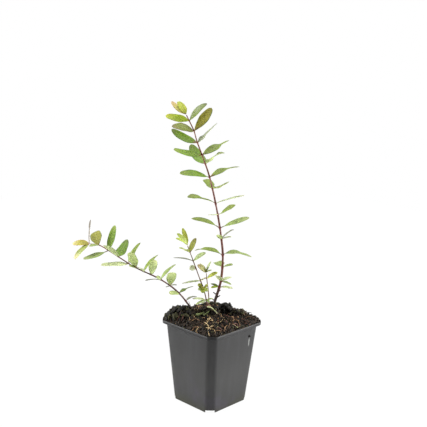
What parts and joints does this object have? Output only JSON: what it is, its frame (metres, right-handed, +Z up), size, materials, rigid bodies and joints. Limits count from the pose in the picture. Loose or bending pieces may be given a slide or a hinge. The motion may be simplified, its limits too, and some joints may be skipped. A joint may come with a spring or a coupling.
{
  "type": "potted st johns wort",
  "caption": "Young leafy shrub with slender leaning stems and paired blunt leaves, growing in compost in a square tapered nursery pot with chamfered corners.",
  "frame": {"origin": "middle of the pot's flat underside, on the surface that it stands on", "axes": "+Z up along the stems; +X and +Y along the pot's sides, with the plant leaning along the diagonal towards -X and -Y"},
  "size_m": [0.1536, 0.1758, 0.3589],
  "materials": {
    "pot_plastic": "satin, slightly grained dark grey",
    "compost": "matte, crumbly dark brown with bark bits and fibres",
    "stem_bark": "matte, reddish brown young bark",
    "leaf": "soft satin green, yellow-green at the tips"
  },
  "bodies": {
    "root": {"pot": "pot_plastic", "compost": "compost", "main_stem": "stem_bark", "left_stem": "stem_bark", "middle_stem": "stem_bark", "inner_stem": "stem_bark", "main_leaves_01": "leaf", "main_leaves_02": "leaf", "main_leaves_03": "leaf", "main_leaves_04": "leaf", "main_leaves_05": "leaf", "main_leaves_06": "leaf", "main_leaves_07": "leaf", "main_leaves_08": "leaf", "main_leaves_09": "leaf", "main_leaves_10": "leaf", "main_leaves_11": "leaf", "main_leaves_12": "leaf", "main_leaves_13": "leaf", "main_leaves_14": "leaf", "main_leaves_15": "leaf", "main_tip_leaves": "leaf", "left_leaves_01": "leaf", "left_leaves_02": "leaf", "left_leaves_03": "leaf", "left_leaves_04": "leaf", "left_leaves_05": "leaf", "left_leaves_06": "leaf", "left_leaves_07": "leaf", "left_leaves_08": "leaf", "left_leaves_09": "leaf", "left_leaves_10": "leaf", "left_leaves_11": "leaf", "left_tip_leaves": "leaf", "middle_leaves_01": "leaf", "middle_leaves_02": "leaf", "middle_leaves_03": "leaf", "middle_leaves_04": "leaf", "middle_leaves_05": "leaf", "middle_leaves_06": "leaf", "middle_tip_leaves": "leaf", "inner_leaves_01": "leaf", "inner_tip_leaves": "leaf"}
  },
  "joints": []
}
